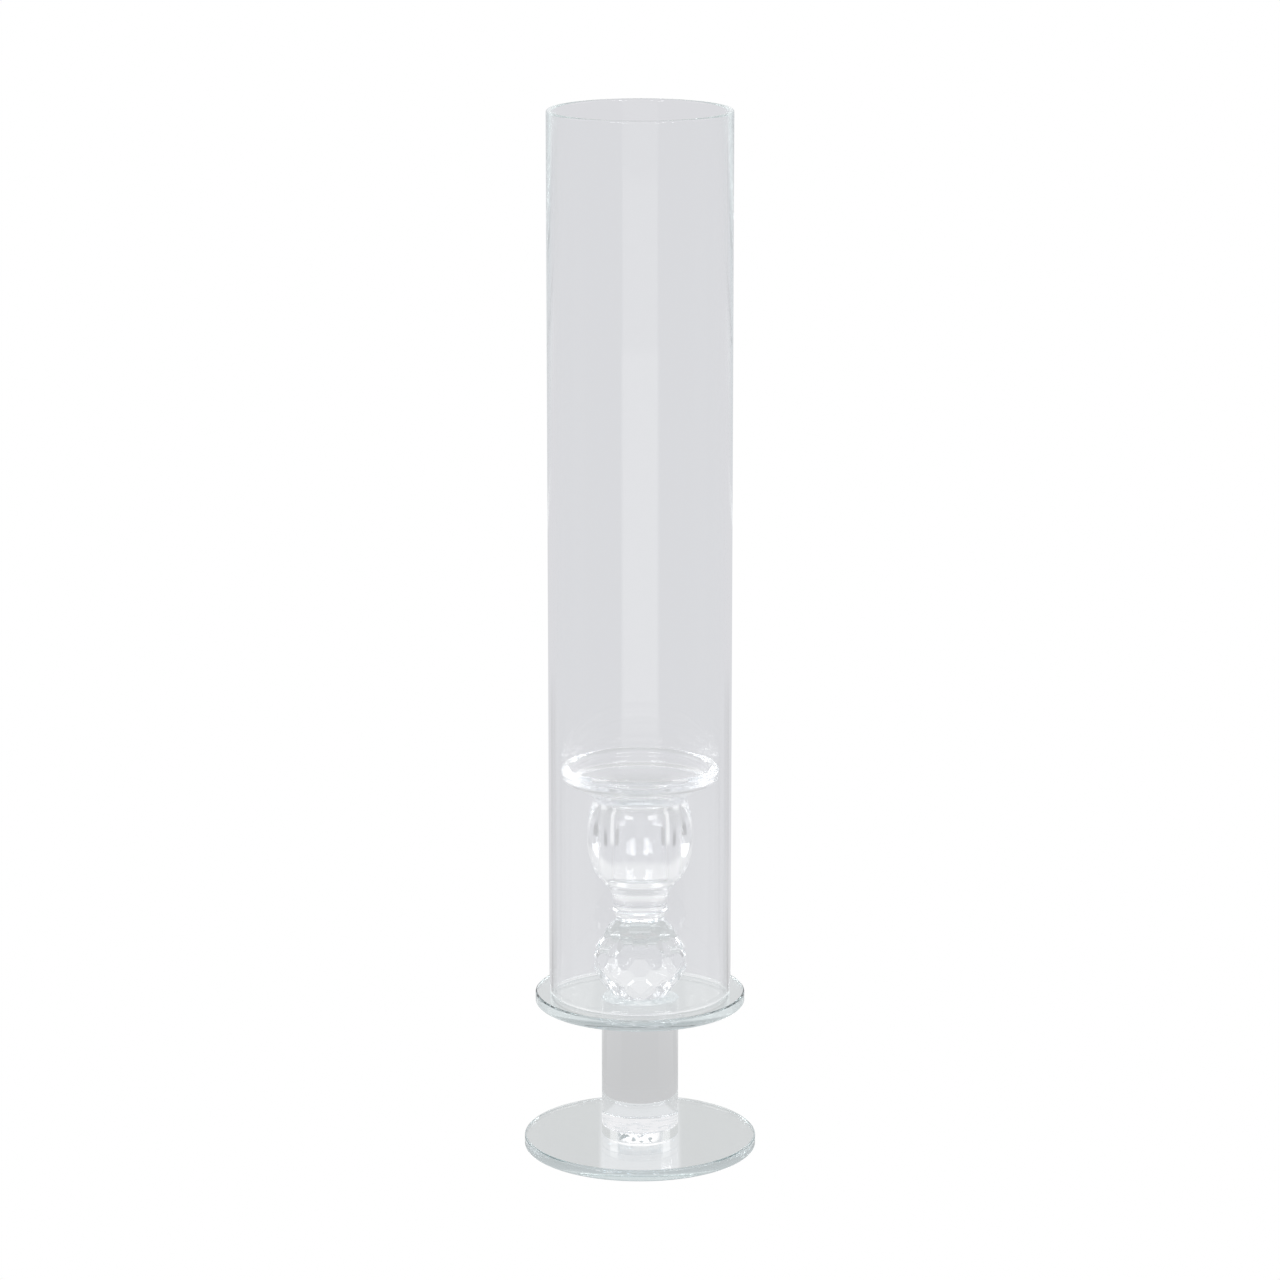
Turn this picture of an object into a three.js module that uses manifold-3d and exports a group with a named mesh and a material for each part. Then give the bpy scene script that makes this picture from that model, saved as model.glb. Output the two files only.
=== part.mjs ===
// Hurricane candle lantern: a bonded crystal holder that stands on a glass foot, with an open glass
// chimney that sets down over it. Millimetres, +Z up, origin at the bottom centre of the foot disc.
import * as THREE from "three";
import * as BufferGeometryUtils from "three/addons/utils/BufferGeometryUtils.js";
import Module from "manifold-3d";

// ---- driving dimensions ----
const TURNS = 48;                 // facets round every turned piece

const FOOT_R = 50;                // foot disc
const PLATE_R = 45;               // plate that carries the holder and the chimney
const DISC_T = 5;                 // thickness of both discs
const DISC_CHAMFER = 0.6;         // ground edge of both discs

const STEM_R = 16.5;              // solid glass rod between the discs, and the collar under it
const COLLAR_T = 5;
const STEM_TOP_Z = 65;            // underside of the plate
const STEM_CHAMFER = 0.3;

const BALL_R = 19.8;              // faceted ball
const BALL_BLANK_R = 24;          // sphere that the facets are cut from
const BALL_CENTRE_H = 17.1;       // heights H are above the plate
const BALL_TOP_H = 34;

const RING_TOP_H = 39;            // bead ring on the ball
const RING_FOOT_R = 10.6;
const RING_BEAD_R = 11.9;

const CUP_NECK_R = 11.4;          // candle cup
const CUP_MAX_R = 22.6;
const CUP_WAIST_R = 19.3;
const CUP_TOP_H = 86;
const SOCKET_FLOOR_H = 54.5;      // taper candle socket
const SOCKET_FLOOR_R = 11.1;
const SOCKET_MOUTH_R = 12.2;
const SOCKET_MOUTH_H = 90;

const PAN_R = 33.8;               // drip pan
const PAN_RIM_H = 101.2;
const PAN_RIM_W = 5;              // width of its rounded rim
const PAN_CONE_R = 23.2;          // upper end of the cone under the pan

const CHIMNEY_R = 39;             // open glass tube
const CHIMNEY_WALL = 2.4;
const CHIMNEY_L = 380;
const FIRE_POLISH = 0.9;          // rounding of the tube's ends

// ---- levels, from the ground up ----
const COLLAR_Z = DISC_T;
const ROD_Z = COLLAR_Z + COLLAR_T;
const PLATE_TOP_Z = STEM_TOP_Z + DISC_T;

// ---- materials ----
function glass(colour, roughness) {
  return new THREE.MeshStandardMaterial({ color: colour, roughness, metalness: 0 });
}

const FLOAT_GLASS = 0xd3dfdc;     // greenish disc glass
const CRYSTAL = 0xe9ebef;         // colourless crystal
const TUBE_GLASS = 0xe4e8ea;

// ---- helpers ----
const lantern = new THREE.Group();

function addPiece(name, geometry, material) {
  const mesh = new THREE.Mesh(geometry, material);
  mesh.name = name;
  lantern.add(mesh);
  return mesh;
}

// Turns an outline of [radius, height] points about the Z axis.
function turned(outline) {
  const points = outline.map(([r, z]) => new THREE.Vector2(r, z));
  return new THREE.LatheGeometry(points, TURNS).rotateX(Math.PI / 2);
}

// Smooth run of [radius, height] points through the given ones.
function smooth(outline, steps) {
  const curve = new THREE.SplineCurve(outline.map(([r, z]) => new THREE.Vector2(r, z)));
  return curve.getPoints(steps).map((p) => [p.x, p.y]);
}

// Points on an arc of an outline, angles in degrees from the outward direction.
function arc(centreR, centreZ, radius, from, to, steps) {
  const points = [];
  for (let i = 0; i <= steps; i += 1) {
    const a = THREE.MathUtils.degToRad(from + ((to - from) * i) / steps);
    points.push([centreR + radius * Math.cos(a), centreZ + radius * Math.sin(a)]);
  }
  return points;
}

// Solid disc or rod between two levels, with a small chamfer on both edges.
function discSolid(radius, z0, z1, chamfer) {
  return turned([
    [0, z0], [radius - chamfer, z0], [radius, z0 + chamfer],
    [radius, z1 - chamfer], [radius - chamfer, z1], [0, z1],
  ]);
}

// ---- foot, collar, stem and plate ----
function addStand() {
  addPiece("foot_disc", discSolid(FOOT_R, 0, DISC_T, DISC_CHAMFER), glass(FLOAT_GLASS, 0.05));
  addPiece("stem_collar", discSolid(STEM_R, COLLAR_Z, ROD_Z, STEM_CHAMFER), glass(CRYSTAL, 0.04));
  addPiece("stem_rod", discSolid(STEM_R, ROD_Z, STEM_TOP_Z, STEM_CHAMFER), glass(CRYSTAL, 0.04));
  addPiece(
    "chimney_plate",
    discSolid(PLATE_R, STEM_TOP_Z, PLATE_TOP_Z, DISC_CHAMFER),
    glass(FLOAT_GLASS, 0.05),
  );
}

// ---- faceted ball ----
// Each row of facets: how many, angle above the equator, turn from the front facet, distance of the
// facets' planes from the ball's centre.
const FACET_ROWS = [
  { count: 8, lift: 5, turn: 0, distance: BALL_R - 0.6 },
  { count: 8, lift: 20, turn: 22.5, distance: BALL_R - 0.55 },
  { count: 16, lift: 30, turn: 0, distance: BALL_R - 1.5 },
  { count: 16, lift: 40, turn: 11.25, distance: BALL_R - 1.05 },
  { count: 8, lift: -14, turn: 22.5, distance: BALL_R - 0.3 },
  { count: 8, lift: -31, turn: 0, distance: BALL_R - 0.6 },
  { count: 16, lift: -38, turn: 11.25, distance: BALL_R - 0.4 },
];

function toManifold(wasm, geometry) {
  const bare = geometry.clone();
  bare.deleteAttribute("normal");
  bare.deleteAttribute("uv");
  const merged = BufferGeometryUtils.mergeVertices(bare, 1e-4);
  return new wasm.Manifold(new wasm.Mesh({
    numProp: 3,
    vertProperties: new Float32Array(merged.attributes.position.array),
    triVerts: new Uint32Array(merged.index.array),
  }));
}

function fromManifold(solid) {
  const { vertProperties, triVerts } = solid.getMesh();
  const geometry = new THREE.BufferGeometry();
  geometry.setAttribute("position", new THREE.BufferAttribute(vertProperties, 3));
  geometry.setIndex(new THREE.BufferAttribute(triVerts, 1));
  geometry.computeVertexNormals();
  return geometry;
}

// Block whose near face lies across the direction, at the distance from the ball's centre.
function cuttingBlock(direction, distance) {
  const size = 4 * BALL_R;
  const block = new THREE.BoxGeometry(size, size, size).translate(0, 0, size / 2 + distance);
  const turn = new THREE.Quaternion().setFromUnitVectors(new THREE.Vector3(0, 0, 1), direction);
  return block.applyQuaternion(turn);
}

function facetDirections() {
  const cuts = [
    { direction: new THREE.Vector3(0, 0, 1), distance: BALL_TOP_H - BALL_CENTRE_H },
    { direction: new THREE.Vector3(0, 0, -1), distance: BALL_CENTRE_H },
  ];
  for (const { count, lift, turn, distance } of FACET_ROWS) {
    for (let i = 0; i < count; i += 1) {
      const azimuth = THREE.MathUtils.degToRad(turn + (360 * i) / count - 90);
      const elevation = THREE.MathUtils.degToRad(lift);
      const direction = new THREE.Vector3(
        Math.cos(elevation) * Math.cos(azimuth),
        Math.cos(elevation) * Math.sin(azimuth),
        Math.sin(elevation),
      );
      cuts.push({ direction, distance });
    }
  }
  return cuts;
}

function addBall(wasm) {
  let ball = toManifold(wasm, new THREE.SphereGeometry(BALL_BLANK_R, TURNS, TURNS / 2));
  for (const { direction, distance } of facetDirections()) {
    ball = ball.subtract(toManifold(wasm, cuttingBlock(direction, distance)));
  }
  const geometry = fromManifold(ball).translate(0, 0, PLATE_TOP_Z + BALL_CENTRE_H);
  addPiece("crystal_ball", geometry, glass(CRYSTAL, 0.03));
}

// ---- bead ring ----
function addNeckRing() {
  const low = PLATE_TOP_Z + BALL_TOP_H;
  const high = PLATE_TOP_Z + RING_TOP_H;
  const bead = smooth([
    [RING_FOOT_R, low], [RING_FOOT_R + 0.1, low + 1.8],
    [RING_BEAD_R, low + 3.8], [CUP_NECK_R, high],
  ], 8);
  addPiece("neck_ring", turned([[0, low], ...bead, [0, high]]), glass(CRYSTAL, 0.04));
}

// Radius of the tapered socket at a height above the plate.
function socketRadius(h) {
  return THREE.MathUtils.mapLinear(
    h, SOCKET_FLOOR_H, SOCKET_MOUTH_H, SOCKET_FLOOR_R, SOCKET_MOUTH_R,
  );
}

// ---- candle cup with its taper socket ----
function addCup() {
  const at = (h) => PLATE_TOP_Z + h;
  const body = smooth([
    [CUP_NECK_R, at(43.2)], [12.6, at(46.4)], [15.4, at(50.3)], [19.1, at(54.9)],
    [21.6, at(62)], [CUP_MAX_R, at(69.5)], [21.7, at(78.4)], [20.6, at(83.4)],
    [CUP_WAIST_R, at(CUP_TOP_H)],
  ], 16);
  addPiece("candle_cup", turned([
    [0, at(RING_TOP_H)], [CUP_NECK_R, at(RING_TOP_H)],
    ...body,
    [socketRadius(CUP_TOP_H), at(CUP_TOP_H)],
    [SOCKET_FLOOR_R, at(SOCKET_FLOOR_H)],
    [0, at(SOCKET_FLOOR_H)],
  ]), glass(CRYSTAL, 0.04));
}

// ---- drip pan: the socket passes through its middle ----
function addPan() {
  const at = (h) => PLATE_TOP_Z + h;
  const half = PAN_RIM_W / 2;
  const underside = [[CUP_WAIST_R, at(CUP_TOP_H)], ...smooth([
    [PAN_CONE_R, at(90.4)], [26.8, at(92.7)], [30.7, at(94.1)], [33.2, at(96.2)],
    [PAN_R, at(PAN_RIM_H - half)],
  ], 8)];
  const rim = arc(PAN_R - half, at(PAN_RIM_H - half), half, 0, 180, 6);
  const bowl = smooth([
    [PAN_R - PAN_RIM_W, at(98)], [24, at(94.4)], [18, at(91.7)],
    [SOCKET_MOUTH_R + 1.6, at(90.3)], [SOCKET_MOUTH_R, at(SOCKET_MOUTH_H - 1)],
  ], 10);
  const outline = [
    ...underside, ...rim.slice(1), ...bowl,
    [socketRadius(CUP_TOP_H), at(CUP_TOP_H)], [CUP_WAIST_R, at(CUP_TOP_H)],
  ];
  addPiece("drip_pan", turned(outline), glass(CRYSTAL, 0.04));
}

// ---- chimney: open tube with fire-polished ends ----
function addChimney() {
  const z0 = PLATE_TOP_Z;
  const z1 = PLATE_TOP_Z + CHIMNEY_L;
  const inner = CHIMNEY_R - CHIMNEY_WALL;
  const p = FIRE_POLISH;
  const outline = [
    ...arc(CHIMNEY_R - p, z0 + p, p, -90, 0, 3),
    ...arc(CHIMNEY_R - p, z1 - p, p, 0, 90, 3),
    ...arc(inner + p, z1 - p, p, 90, 180, 3),
    ...arc(inner + p, z0 + p, p, 180, 270, 3),
    [CHIMNEY_R - p, z0],
  ];
  addPiece("chimney", turned(outline), glass(TUBE_GLASS, 0.03));
}

const wasm = await Module();
wasm.setup();
addStand();
addBall(wasm);
addNeckRing();
addCup();
addPan();
addChimney();

export default lantern;
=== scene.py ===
# Looks of the hurricane candle lantern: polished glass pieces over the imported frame, in metres.
import math
import bmesh
import bpy
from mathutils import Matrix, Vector


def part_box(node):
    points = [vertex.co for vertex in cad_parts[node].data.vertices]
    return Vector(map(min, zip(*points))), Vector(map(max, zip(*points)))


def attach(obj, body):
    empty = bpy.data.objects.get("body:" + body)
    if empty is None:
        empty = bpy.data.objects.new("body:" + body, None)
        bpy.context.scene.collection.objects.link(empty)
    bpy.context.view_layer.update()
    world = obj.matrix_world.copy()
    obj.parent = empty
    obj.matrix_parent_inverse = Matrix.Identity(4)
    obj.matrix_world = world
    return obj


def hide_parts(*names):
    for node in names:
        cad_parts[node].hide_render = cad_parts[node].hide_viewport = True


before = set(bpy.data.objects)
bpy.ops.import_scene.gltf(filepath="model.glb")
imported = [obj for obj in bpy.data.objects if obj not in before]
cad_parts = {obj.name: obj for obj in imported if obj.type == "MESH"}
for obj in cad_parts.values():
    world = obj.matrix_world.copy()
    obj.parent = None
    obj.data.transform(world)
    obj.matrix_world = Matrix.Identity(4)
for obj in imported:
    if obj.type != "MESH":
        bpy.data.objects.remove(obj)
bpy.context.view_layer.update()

MM = 0.001

# ---- sizes that the frame doesn't hold ----
TURN_STEPS = 256                 # facets round a turned piece
ARC_STEPS = 5                    # facets along a rounded edge
RIM_STEPS = 24                   # facets over the rim of the pan
POLISH_STEPS = 8                 # facets along each rounding of the tube's ends
SUPPORT = 0.3 * MM               # longest strip of flat kept beside a rounded edge
ON_AXIS = 1e-9                   # a point nearer than this is on the axis
BOND_GAP = 0.01 * MM             # each bonded face stops this far short of its neighbour
DISC_CHAMFER = 0.6 * MM
STEM_CHAMFER = 0.3 * MM
EDGE_ROUND = 0.28 * MM           # rounding of every chamfer's own edges
FACET_ROUND = 0.09 * MM          # flat chamfer on the ball's edges

BALL_R = 19.8 * MM
BALL_CENTRE_H = 17.1 * MM        # above the plate
# Rows of facets: count, lift above the equator and turn from the front in degrees, plane distance.
FACET_ROWS = [
    (8, 5, 0, 19.2 * MM),
    (8, 20, 22.5, 19.25 * MM),
    (16, 30, 0, 18.3 * MM),
    (16, 40, 11.25, 18.75 * MM),
    (8, -14, 22.5, 19.5 * MM),
    (8, -31, 0, 19.2 * MM),
    (16, -38, 11.25, 19.4 * MM),
]

RING_FOOT_R = 10.6 * MM
CUP_NECK_R = 11.4 * MM
NECK_STRIP = 0.2 * MM            # ring of the flats beside an edge of the neck
CUP_WAIST_R = 19.3 * MM
WAIST_STRIP = 0.4 * MM
SOCKET_FLOOR_H = 54.5 * MM       # above the plate
SOCKET_FLOOR_R = 11.1 * MM
SOCKET_MOUTH_H = 90 * MM
SOCKET_MOUTH_R = 12.2 * MM
SOCKET_ROUND = 1.2 * MM          # rounding at the socket's floor
PAN_CONE_R = 23.2 * MM           # upper end of the cone under the pan
PAN_RIM_W = 5 * MM
CHIMNEY_WALL = 2.4 * MM
FIRE_POLISH = 0.9 * MM           # rounding of the tube's ends

# ---- glass ----
GLASS_IOR, TUBE_IOR = 1.52, 1.5  # discs and crystal, tube
DISC_TINT, DISC_DENSITY = (0.74, 0.80, 0.81), 10
CRYSTAL_TINT, CRYSTAL_DENSITY = (0.90, 0.93, 0.95), 3
TUBE_TINT, TUBE_DENSITY = (0.88, 0.94, 0.94), 2.5
SMUDGE_SCALE, SMUDGE_SPAN = 90, (0.55, 0.8)   # the span of the noise that dulls the gloss
BUBBLE_SCALE = 330               # bubbles in the adhesive under the ball and at the stem
PATCHY = 0.43                    # cover of adhesive with bubbles in it, 1 being a clean bond

# ---- stage ----
FLOOR_HALF = 14.0                # half the floor's side
FLOOR_DROP = 0.3 * MM            # the floor lies just under the foot
FLOOR_GREY = (0.71, 0.71, 0.735)
SHADOW_GREY = (0.59, 0.595, 0.60)
SHADOW_REACH = (0.10, 0.45)      # the soft shadow round the foot fades out between these radii
# Sectors of the floor with painted light and shade: a painted pool of light on the camera's side,
# painted lighter sides, painted shade behind on both sides. Degrees from the back on both sides, metres
# from the axis, colour.
PAINTED_LIGHT_AND_SHADE_SECTORS = [
    ((156.5, 190), (0.65, 2.9), (1.15, 1.15, 1.16)),
    ((66, 125), (0.13, 0.6), (0.98, 0.98, 0.99)),
    ((30, 50), (0.4, 0.82), (0.46, 0.46, 0.47)),
]
SECTOR_SOFT = (0.02, 0.1)        # half width of their soft edges, in radians and metres
# Light that comes down through the stem: a bright spot, and a band in front of it and behind it.
STEM_GLOW = (1.18, 1.14, 1.14)
STEM_GLOW_REACH = (0.0130, 0.0150)
STEM_THROW = (0.77, 0.77, 0.79)
STEM_THROW_SIDE, STEM_THROW_END = (0.0155, 0.0185), (0.04, 0.07)
# The surround, by the height of the line of sight: the floor's grey, the backdrop, the ceiling.
BACKDROP, BACKDROP_RISE = (0.89, 0.89, 0.90), (0.0, 0.1)
CEILING, CEILING_RISE = (0.70, 0.70, 0.71), (0.6, 0.8)
# Soft boxes: name, azimuth from the camera's side and elevation in degrees, size in metres, radiance.
SOFTBOXES = [
    ("window_left", -26, 20, 0.60, 0.34, 6.5),
    ("window_right", 30, 20, 0.65, 0.34, 6.5),
    ("side_left", -85, 24, 1.1, 0.9, 0.5),
    ("side_right", 85, 24, 1.1, 0.9, 0.5),
]
SOFTBOX_AIM, SOFTBOX_DISTANCE = Vector((0, 0, 0.2)), 1.7
CAMERA_SPOT, CAMERA_DIP, CAMERA_LENS = (0, -1.967, 0.692), 13.364, 134.1
BOUNCES = 128                    # a ray passes many faces of clear glass


# ---- outlines: lists of (radius, height) ----
def rounded(corners):
    """Outline through (r, z, radius) corners, each rounded by its own radius."""
    outline = []
    for i, (r, z, radius) in enumerate(corners):
        here = Vector((r, z))
        if radius == 0 or i in (0, len(corners) - 1):
            outline.append(here)
            continue
        back = (Vector(corners[i - 1][:2]) - here).normalized()
        ahead = (Vector(corners[i + 1][:2]) - here).normalized()
        half = back.angle(ahead) / 2
        run = radius / math.tan(half)
        centre = here + (back + ahead).normalized() * (radius / math.sin(half))
        start = here + back * run - centre
        sweep = start.angle_signed(here + ahead * run - centre)
        support = min(2 * run, SUPPORT)
        outline.append(here + back * (run + support))
        for k in range(ARC_STEPS + 1):
            a = -sweep * k / ARC_STEPS
            turned = Vector((
                start.x * math.cos(a) - start.y * math.sin(a),
                start.x * math.sin(a) + start.y * math.cos(a),
            ))
            outline.append(centre + turned)
        outline.append(here + ahead * (run + support))
    return outline


def smooth(points, steps):
    """Catmull-Rom run of steps points through the given ones, ends included."""
    pts = [Vector(p) for p in points]
    pts = [2 * pts[0] - pts[1]] + pts + [2 * pts[-1] - pts[-2]]
    spans = len(pts) - 3
    outline = []
    for k in range(steps + 1):
        at = min(k * spans / steps, spans - 1e-9)
        i = int(at)
        t = at - i
        a, b, c, d = pts[i:i + 4]
        outline.append(0.5 * (
            2 * b + (c - a) * t + (2 * a - 5 * b + 4 * c - d) * t ** 2
            + (3 * b - a - 3 * c + d) * t ** 3
        ))
    return outline


# ---- mesh building ----
def finish_piece(name, bm, sharp_deg):
    bmesh.ops.recalc_face_normals(bm, faces=bm.faces)
    mesh = bpy.data.meshes.new(name)
    bm.to_mesh(mesh)
    bm.free()
    piece = bpy.data.objects.new(name, mesh)
    bpy.context.scene.collection.objects.link(piece)
    mesh.shade_smooth()
    mesh.set_sharp_from_angle(angle=math.radians(sharp_deg))
    return piece


def turn(name, outline, sharp_deg=32):
    """Closed solid of revolution. The outline starts and ends on the axis, or is a closed loop."""
    bm = bmesh.new()
    rings = []
    for r, z in outline:
        if r < ON_AXIS:
            rings.append([bm.verts.new((0, 0, z))])
            continue
        ring = []
        for k in range(TURN_STEPS):
            a = 2 * math.pi * k / TURN_STEPS
            ring.append(bm.verts.new((r * math.cos(a), r * math.sin(a), z)))
        rings.append(ring)
    closing = [] if len(rings[0]) == 1 else rings[:1]
    for low, high in zip(rings, rings[1:] + closing):
        for k in range(TURN_STEPS):
            n = (k + 1) % TURN_STEPS
            if len(low) == 1:
                bm.faces.new((low[0], high[n], high[k]))
            elif len(high) == 1:
                bm.faces.new((low[k], low[n], high[0]))
            else:
                bm.faces.new((low[k], low[n], high[n], high[k]))
    return finish_piece(name, bm, sharp_deg)


def bond(piece, z, r_max, cover=1.0):
    """Marks the flat faces at height z inside a radius as wetted by clear adhesive.

    With a cover under 1 the adhesive leaves bubbles of air.
    """
    attributes = piece.data.attributes
    marks = attributes.get("bonded") or attributes.new("bonded", "FLOAT", "FACE")
    for face in piece.data.polygons:
        centre = face.center
        reach = math.hypot(centre.x, centre.y)
        flat = abs(face.normal.z) > 0.999
        if flat and abs(centre.z - z) < 2 * BOND_GAP and reach <= r_max:
            marks.data[face.index].value = cover


# ---- materials ----
def new_material(name):
    material = bpy.data.materials.new(name)
    material.use_nodes = True
    nodes = material.node_tree.nodes
    return material, nodes, material.node_tree.links, nodes["Principled BSDF"]


def calculate(nodes, links, operation, *values):
    node = nodes.new("ShaderNodeMath")
    node.operation = operation
    for socket, value in zip(node.inputs, values):
        if isinstance(value, (int, float)):
            socket.default_value = value
        else:
            links.new(value, socket)
    return node.outputs[0]


def absorb(material, colour, density):
    nodes = material.node_tree.nodes
    volume = nodes.new("ShaderNodeVolumeAbsorption")
    volume.inputs["Color"].default_value = (*colour, 1)
    volume.inputs["Density"].default_value = density
    output = nodes["Material Output"]
    material.node_tree.links.new(volume.outputs["Volume"], output.inputs["Volume"])


def wet_by_adhesive(material):
    """Faces marked by bond let light straight through, but for bubbles where the cover is patchy."""
    nodes, links = material.node_tree.nodes, material.node_tree.links
    index_socket = nodes["Principled BSDF"].inputs["IOR"]
    bonded = nodes.new("ShaderNodeAttribute")
    bonded.attribute_name = "bonded"
    place = nodes.new("ShaderNodeTexCoord")
    bubbles = nodes.new("ShaderNodeTexNoise")
    bubbles.inputs["Scale"].default_value = BUBBLE_SCALE
    bubbles.inputs["Detail"].default_value = 1
    links.new(place.outputs["Object"], bubbles.inputs["Vector"])
    wet = calculate(nodes, links, "ADD", bonded.outputs["Fac"], bubbles.outputs["Fac"])
    wet = calculate(nodes, links, "GREATER_THAN", wet, 1)
    index = nodes.new("ShaderNodeMapRange")
    index.inputs["To Min"].default_value = index_socket.default_value
    index.inputs["To Max"].default_value = 1
    links.new(wet, index.inputs["Value"])
    links.new(index.outputs["Result"], index_socket)


def glass(name, colour, ior, tint, density, ripple_scale, ripple, smudge):
    """Clear glass with faint flow ripples in its surface and faint smudges in its gloss."""
    material, nodes, links, shader = new_material(name)
    shader.inputs["Base Color"].default_value = (*colour, 1)
    shader.inputs["Transmission Weight"].default_value = 1
    shader.inputs["IOR"].default_value = ior
    absorb(material, tint, density)

    place = nodes.new("ShaderNodeTexCoord")
    stretch = nodes.new("ShaderNodeMapping")
    stretch.inputs["Scale"].default_value = ripple_scale
    links.new(place.outputs["Object"], stretch.inputs["Vector"])
    flow = nodes.new("ShaderNodeTexNoise")
    flow.inputs["Scale"].default_value = 1
    flow.inputs["Detail"].default_value = 2
    links.new(stretch.outputs["Vector"], flow.inputs["Vector"])
    bump = nodes.new("ShaderNodeBump")
    bump.inputs["Strength"].default_value = 1
    bump.inputs["Distance"].default_value = ripple
    links.new(flow.outputs["Fac"], bump.inputs["Height"])
    links.new(bump.outputs["Normal"], shader.inputs["Normal"])

    marks = nodes.new("ShaderNodeTexNoise")
    marks.inputs["Scale"].default_value = SMUDGE_SCALE
    marks.inputs["Detail"].default_value = 4
    links.new(place.outputs["Object"], marks.inputs["Vector"])
    gloss = nodes.new("ShaderNodeMapRange")
    gloss.inputs["From Min"].default_value = SMUDGE_SPAN[0]
    gloss.inputs["From Max"].default_value = SMUDGE_SPAN[1]
    gloss.inputs["To Min"].default_value = 0
    gloss.inputs["To Max"].default_value = smudge
    links.new(marks.outputs["Fac"], gloss.inputs["Value"])
    links.new(gloss.outputs["Result"], shader.inputs["Roughness"])
    return material


disc_glass = glass(
    "disc_glass", (0.97, 0.995, 0.99), GLASS_IOR, DISC_TINT, DISC_DENSITY,
    ripple_scale=(14, 14, 14), ripple=0.02 * MM, smudge=0.03)
crystal = glass(
    "crystal", (0.99, 0.99, 0.995), GLASS_IOR, CRYSTAL_TINT, CRYSTAL_DENSITY,
    ripple_scale=(30, 30, 30), ripple=0.01 * MM, smudge=0.02)
tube_glass = glass(
    "tube_glass", (0.99, 0.995, 0.995), TUBE_IOR, TUBE_TINT, TUBE_DENSITY,
    ripple_scale=(75, 75, 2.2), ripple=0.02 * MM, smudge=0.02)
wet_by_adhesive(disc_glass)
wet_by_adhesive(crystal)


def dress(piece, node, body, material):
    piece.data.materials.append(material)
    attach(piece, body)
    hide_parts(node)


# ---- stand: foot disc, collar, rod, plate ----
def chamfered_disc(name, radius, z0, z1, chamfer, marks_low=(), marks_high=()):
    """Disc or rod with rounded chamfers. The marks are radii at which its flat faces are split."""
    low = [(r, z0) for r in marks_low]
    high = [(r, z1) for r in marks_high]
    side = rounded([
        (max([0.0, *marks_low]), z0, 0),
        (radius - chamfer, z0, EDGE_ROUND), (radius, z0 + chamfer, EDGE_ROUND),
        (radius, z1 - chamfer, EDGE_ROUND), (radius - chamfer, z1, EDGE_ROUND),
        (max([0.0, *marks_high]), z1, 0),
    ])
    return turn(name, [(0.0, z0), *low, *side[1:-1], *reversed(high), (0.0, z1)])


def stand():
    stem_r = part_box("stem_rod")[1].x
    bond_r = stem_r - STEM_CHAMFER - 2 * EDGE_ROUND
    lo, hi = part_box("foot_disc")
    foot = chamfered_disc("foot_disc_glass", hi.x, lo.z, hi.z, DISC_CHAMFER, marks_high=[bond_r])
    bond(foot, hi.z, bond_r, PATCHY)
    dress(foot, "foot_disc", "holder", disc_glass)

    for node, name in (("stem_collar", "stem_collar_glass"), ("stem_rod", "stem_rod_glass")):
        lo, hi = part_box(node)
        z0, z1 = lo.z + BOND_GAP, hi.z - BOND_GAP
        rod = chamfered_disc(name, hi.x, z0, z1, STEM_CHAMFER, [bond_r], [bond_r])
        bond(rod, z0, bond_r, PATCHY)
        bond(rod, z1, bond_r, PATCHY)
        dress(rod, node, "holder", crystal)

    lo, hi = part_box("chimney_plate")
    ball_flat_r = ball_seat_radius()
    plate = chamfered_disc(
        "chimney_plate_glass", hi.x, lo.z, hi.z, DISC_CHAMFER, [bond_r], [ball_flat_r])
    bond(plate, lo.z, bond_r, PATCHY)
    bond(plate, hi.z, ball_flat_r, PATCHY)
    dress(plate, "chimney_plate", "holder", disc_glass)


# ---- faceted ball ----
def ball_planes(centre, low_z, high_z):
    planes = [
        (Vector((0, 0, high_z)), Vector((0, 0, 1))),
        (Vector((0, 0, low_z)), Vector((0, 0, -1))),
    ]
    for count, lift, first, distance in FACET_ROWS:
        for i in range(count):
            azimuth = math.radians(first + 360 * i / count - 90)
            rise = math.radians(lift)
            normal = Vector((
                math.cos(rise) * math.cos(azimuth), math.cos(rise) * math.sin(azimuth), math.sin(rise)))
            planes.append((centre + normal * distance, normal))
    return planes


def cut_ball():
    """Convex body inside all the facet planes."""
    plate_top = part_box("chimney_plate")[1].z
    lo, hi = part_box("crystal_ball")
    centre = Vector((0, 0, plate_top + BALL_CENTRE_H))
    bm = bmesh.new()
    bmesh.ops.create_cube(bm, size=4 * BALL_R)
    bmesh.ops.translate(bm, verts=bm.verts, vec=centre)
    for spot, normal in ball_planes(centre, lo.z + BOND_GAP, hi.z - BOND_GAP):
        everything = bm.verts[:] + bm.edges[:] + bm.faces[:]
        bmesh.ops.bisect_plane(bm, geom=everything, plane_co=spot, plane_no=normal, clear_outer=True)
        open_edges = [e for e in bm.edges if e.is_boundary]
        if open_edges:
            bmesh.ops.contextual_create(bm, geom=open_edges)
    bmesh.ops.dissolve_degenerate(bm, dist=0.01 * MM, edges=bm.edges)
    return bm


def ball_seat_radius():
    """Radius of the largest circle in the ball's foot."""
    bm = cut_ball()
    low_z = min(v.co.z for v in bm.verts)
    foot = [f for f in bm.faces if all(v.co.z < low_z + 1e-6 for v in f.verts)][0]
    reach = min(
        ((e.verts[0].co + e.verts[1].co) / 2).xy.length for e in foot.edges)
    bm.free()
    return reach - FACET_ROUND


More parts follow.
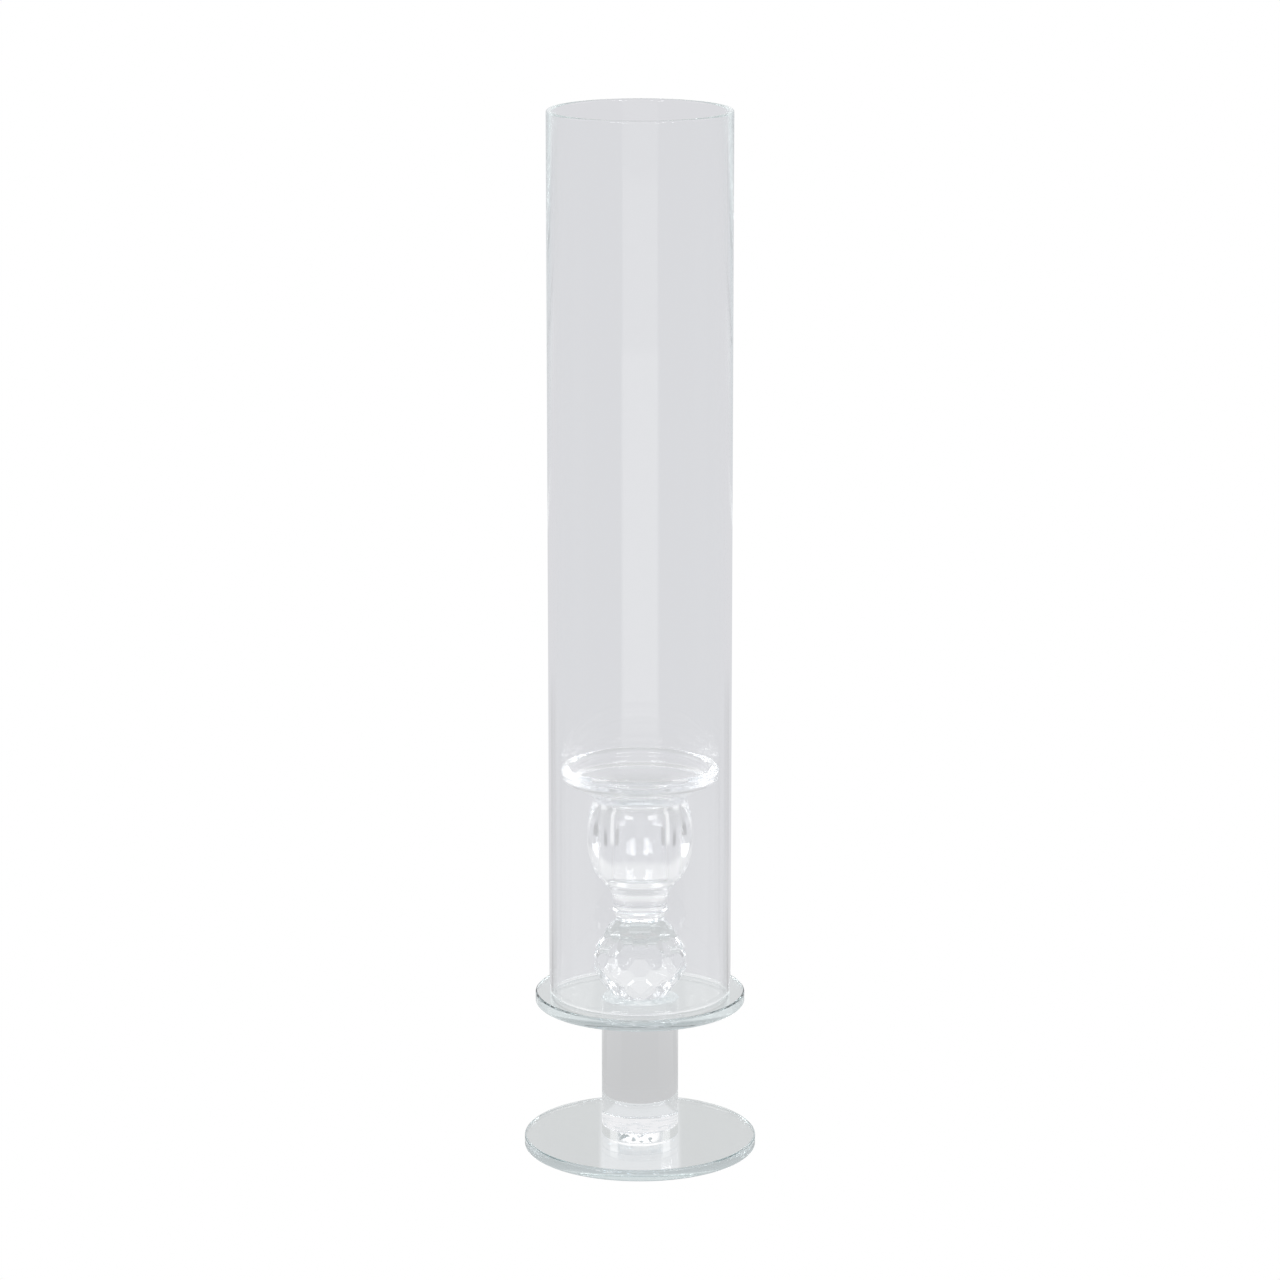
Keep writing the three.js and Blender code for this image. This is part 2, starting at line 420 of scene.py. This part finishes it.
def ball():
    bm = cut_ball()
    bmesh.ops.bevel(
        bm, geom=bm.edges[:], offset=FACET_ROUND, segments=1, affect="EDGES", clamp_overlap=True)
    piece = finish_piece("crystal_ball_glass", bm, 1)
    lo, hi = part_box("crystal_ball")
    bond(piece, lo.z + BOND_GAP, BALL_R, PATCHY)
    bond(piece, hi.z - BOND_GAP, BALL_R)
    dress(piece, "crystal_ball", "holder", crystal)


# ---- bead ring, cup and pan ----
def neck_ring():
    lo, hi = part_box("neck_ring")
    z0, z1 = lo.z + BOND_GAP, hi.z - BOND_GAP
    bead = smooth([
        (RING_FOOT_R, z0), (RING_FOOT_R + 0.1 * MM, z0 + 1.8 * MM),
        (hi.x, z0 + 3.8 * MM), (CUP_NECK_R, z1),
    ], 24)
    foot_r, top_r = RING_FOOT_R - NECK_STRIP, CUP_NECK_R - NECK_STRIP
    piece = turn("neck_ring_glass", [(0.0, z0), (foot_r, z0), *bead, (top_r, z1), (0.0, z1)])
    bond(piece, z0, RING_FOOT_R)
    bond(piece, z1, CUP_NECK_R)
    dress(piece, "neck_ring", "holder", crystal)


def socket_radius(height):
    """Radius of the tapered socket at a height above the plate."""
    share = (height - SOCKET_FLOOR_H) / (SOCKET_MOUTH_H - SOCKET_FLOOR_H)
    return SOCKET_FLOOR_R + share * (SOCKET_MOUTH_R - SOCKET_FLOOR_R)


def candle_cup():
    plate_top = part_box("chimney_plate")[1].z
    lo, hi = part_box("candle_cup")
    z0, z1 = lo.z + BOND_GAP, hi.z - BOND_GAP
    floor_z = plate_top + SOCKET_FLOOR_H
    waist_r = socket_radius(hi.z - plate_top)

    def at(h):
        return plate_top + h * MM

    body = smooth([
        (CUP_NECK_R, at(43.2)), (12.6 * MM, at(46.4)), (15.4 * MM, at(50.3)), (19.1 * MM, at(54.9)),
        (21.6 * MM, at(62)), (hi.x, at(69.5)), (21.7 * MM, at(78.4)), (20.6 * MM, at(83.4)),
        (CUP_WAIST_R, z1),
    ], 72)
    foot_r = CUP_NECK_R - NECK_STRIP
    socket = rounded([
        (waist_r, z1, 0), (SOCKET_FLOOR_R, floor_z, SOCKET_ROUND), (0.0, floor_z, 0)])
    piece = turn("candle_cup_glass", [
        (0.0, z0), (foot_r, z0), (CUP_NECK_R, z0), *body,
        (CUP_WAIST_R - WAIST_STRIP, z1), *socket,
    ])
    bond(piece, z0, CUP_NECK_R)
    bond(piece, z1, CUP_WAIST_R - WAIST_STRIP)
    dress(piece, "candle_cup", "holder", crystal)


def drip_pan():
    plate_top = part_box("chimney_plate")[1].z
    lo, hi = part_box("drip_pan")
    z0 = lo.z + BOND_GAP
    half = PAN_RIM_W / 2
    waist_r = socket_radius(lo.z - plate_top)

    def at(h):
        return plate_top + h * MM

    underside = [(CUP_WAIST_R, z0), *smooth([
        (PAN_CONE_R, at(90.4)), (26.8 * MM, at(92.7)), (30.7 * MM, at(94.1)),
        (33.2 * MM, at(96.2)), (hi.x, hi.z - half),
    ], 40)]
    rim = []
    for k in range(1, RIM_STEPS + 1):
        a = math.pi * k / RIM_STEPS
        rim.append((hi.x - half + half * math.cos(a), hi.z - half + half * math.sin(a)))
    bowl = smooth([
        (hi.x - PAN_RIM_W, at(98)), (24 * MM, at(94.4)), (18 * MM, at(91.7)),
        (SOCKET_MOUTH_R + 1.6 * MM, at(90.3)), (SOCKET_MOUTH_R, at(89)),
    ], 44)
    piece = turn("drip_pan_glass", [
        *underside, *rim, *bowl, (waist_r, z0), (CUP_WAIST_R - WAIST_STRIP, z0)])
    bond(piece, z0, CUP_WAIST_R - WAIST_STRIP)
    dress(piece, "drip_pan", "holder", crystal)


# ---- chimney ----
def chimney():
    lo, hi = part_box("chimney")
    outer, inner = hi.x, hi.x - CHIMNEY_WALL
    p = FIRE_POLISH
    outline = []
    for r, z, first in (
        (outer - p, lo.z + p, -90), (outer - p, hi.z - p, 0),
        (inner + p, hi.z - p, 90), (inner + p, lo.z + p, 180),
    ):
        for k in range(POLISH_STEPS + 1):
            a = math.radians(first + 90 * k / POLISH_STEPS)
            outline.append((r + p * math.cos(a), z + p * math.sin(a)))
    piece = turn("chimney_glass", outline)
    dress(piece, "chimney", "chimney_tube", tube_glass)


# ---- floor, studio light and camera ----
def two_lights(nodes, links, seen, studio):
    """Mixes what the camera sees directly with what the glass sees."""
    path = nodes.new("ShaderNodeLightPath")
    mix = nodes.new("ShaderNodeMixShader")
    links.new(path.outputs["Is Camera Ray"], mix.inputs[0])
    links.new(studio, mix.inputs[1])
    links.new(seen, mix.inputs[2])
    return mix.outputs["Shader"]


def step_between(nodes, links, value, low, high):
    """1 past high, 0 before low, smooth between them."""
    ramp = nodes.new("ShaderNodeMapRange")
    ramp.interpolation_type = "SMOOTHSTEP"
    ramp.inputs["From Min"].default_value = low
    ramp.inputs["From Max"].default_value = high
    links.new(value, ramp.inputs["Value"])
    return ramp.outputs["Result"]


def blend(nodes, links, share, under, over):
    """Mix of two colours or colour outputs, by an output that says how much of the second."""
    mix = nodes.new("ShaderNodeMix")
    mix.data_type = "RGBA"
    links.new(share, mix.inputs[0])
    for socket, colour in ((mix.inputs[6], under), (mix.inputs[7], over)):
        if isinstance(colour, tuple):
            socket.default_value = (*colour, 1)
        else:
            links.new(colour, socket)
    return mix.outputs[2]


def stem_throw(nodes, links, spot):
    """1 in the band of light that the stem throws on the floor in front of it and behind it."""
    split = nodes.new("ShaderNodeSeparateXYZ")
    links.new(spot, split.inputs[0])
    aside = calculate(nodes, links, "ABSOLUTE", split.outputs["X"])
    along = calculate(nodes, links, "ABSOLUTE", split.outputs["Y"])
    past = step_between(nodes, links, aside, *STEM_THROW_SIDE)
    inside = calculate(nodes, links, "SUBTRACT", 1, past)
    past = step_between(nodes, links, along, *STEM_THROW_END)
    near = calculate(nodes, links, "SUBTRACT", 1, past)
    return calculate(nodes, links, "MULTIPLY", inside, near)


def sector(nodes, links, spot, reach, angles, span):
    """1 on the floor between two angles from the back, on both sides, and between two distances."""
    split = nodes.new("ShaderNodeSeparateXYZ")
    links.new(spot, split.inputs[0])
    turn_off = calculate(nodes, links, "ARCTAN2", split.outputs["X"], split.outputs["Y"])
    turn_off = calculate(nodes, links, "ABSOLUTE", turn_off)
    limits = [[math.radians(a) for a in angles], span]
    inside = None
    for value, (low, high), soft in zip((turn_off, reach), limits, SECTOR_SOFT):
        past = step_between(nodes, links, value, low - soft, low + soft)
        over = step_between(nodes, links, value, high - soft, high + soft)
        between = calculate(nodes, links, "SUBTRACT", past, over)
        inside = calculate(nodes, links, "MULTIPLY", inside, between) if inside else between
    return inside


def floor():
    bm = bmesh.new()
    bmesh.ops.create_grid(bm, x_segments=1, y_segments=1, size=FLOOR_HALF)
    bmesh.ops.translate(bm, verts=bm.verts, vec=(0, 0, -FLOOR_DROP))
    mesh = bpy.data.meshes.new("floor")
    bm.to_mesh(mesh)
    bm.free()
    obj = bpy.data.objects.new("floor", mesh)
    bpy.context.scene.collection.objects.link(obj)
    material = bpy.data.materials.new("floor_paper")
    material.use_nodes = True
    nodes, links = material.node_tree.nodes, material.node_tree.links
    nodes.clear()
    output = nodes.new("ShaderNodeOutputMaterial")
    white = nodes.new("ShaderNodeEmission")
    white.inputs["Color"].default_value = (1, 1, 1, 1)
    place = nodes.new("ShaderNodeTexCoord")
    reach = nodes.new("ShaderNodeVectorMath")
    reach.operation = "LENGTH"
    links.new(place.outputs["Object"], reach.inputs[0])
    spot, reach = place.outputs["Object"], reach.outputs["Value"]
    fade = step_between(nodes, links, reach, *SHADOW_REACH)
    tone = blend(nodes, links, fade, SHADOW_GREY, FLOOR_GREY)
    # painted light and shade laid over the floor's tone, sector by sector
    for angles, span, colour in PAINTED_LIGHT_AND_SHADE_SECTORS:
        tone = blend(nodes, links, sector(nodes, links, spot, reach, angles, span), tone, colour)
    tone = blend(nodes, links, stem_throw(nodes, links, spot), tone, STEM_THROW)
    fade = step_between(nodes, links, reach, *STEM_GLOW_REACH)
    tone = blend(nodes, links, fade, STEM_GLOW, tone)
    grey = nodes.new("ShaderNodeEmission")
    links.new(tone, grey.inputs["Color"])
    links.new(two_lights(nodes, links, white.outputs[0], grey.outputs[0]), output.inputs["Surface"])
    mesh.materials.append(material)


def studio_world():
    world = bpy.data.worlds.new("studio")
    bpy.context.scene.world = world
    world.use_nodes = True
    nodes, links = world.node_tree.nodes, world.node_tree.links
    nodes.clear()
    output = nodes.new("ShaderNodeOutputWorld")
    white = nodes.new("ShaderNodeBackground")
    white.inputs["Color"].default_value = (1, 1, 1, 1)
    place = nodes.new("ShaderNodeTexCoord")
    split = nodes.new("ShaderNodeSeparateXYZ")
    links.new(place.outputs["Generated"], split.inputs[0])
    rise = split.outputs["Z"]
    tone = blend(nodes, links, step_between(nodes, links, rise, *BACKDROP_RISE), FLOOR_GREY, BACKDROP)
    tone = blend(nodes, links, step_between(nodes, links, rise, *CEILING_RISE), tone, CEILING)
    grey = nodes.new("ShaderNodeBackground")
    links.new(tone, grey.inputs["Color"])
    links.new(two_lights(nodes, links, white.outputs[0], grey.outputs[0]), output.inputs["Surface"])


def softbox(name, azimuth, elevation, width, height, radiance):
    """Area light that faces the holder. The camera doesn't see it."""
    a, e = math.radians(azimuth - 90), math.radians(elevation)
    outward = Vector((math.cos(e) * math.cos(a), math.cos(e) * math.sin(a), math.sin(e)))
    lamp = bpy.data.lights.new(name, "AREA")
    lamp.shape = "RECTANGLE"
    lamp.size, lamp.size_y = width, height
    lamp.energy = radiance * math.pi * width * height
    obj = bpy.data.objects.new(name, lamp)
    obj.location = SOFTBOX_AIM + SOFTBOX_DISTANCE * outward
    obj.rotation_euler = outward.to_track_quat("Z", "Y").to_euler()
    obj.visible_camera = False
    bpy.context.scene.collection.objects.link(obj)


def camera():
    data = bpy.data.cameras.new("camera")
    data.lens = CAMERA_LENS
    data.sensor_width = 36
    data.clip_end = 100
    obj = bpy.data.objects.new("camera", data)
    obj.location = CAMERA_SPOT
    obj.rotation_euler = (math.radians(90 - CAMERA_DIP), 0, 0)
    bpy.context.scene.collection.objects.link(obj)
    bpy.context.scene.camera = obj


def studio():
    scene = bpy.context.scene
    scene.view_settings.view_transform = "Standard"
    scene.cycles.max_bounces = BOUNCES
    scene.cycles.transmission_bounces = BOUNCES
    scene.cycles.glossy_bounces = BOUNCES
    scene.cycles.transparent_max_bounces = 16
    scene.cycles.sample_clamp_indirect = 8
    scene.cycles.use_denoising = True
    floor()
    studio_world()
    for box in SOFTBOXES:
        softbox(*box)
    camera()


studio()
stand()
ball()
neck_ring()
candle_cup()
drip_pan()
chimney()
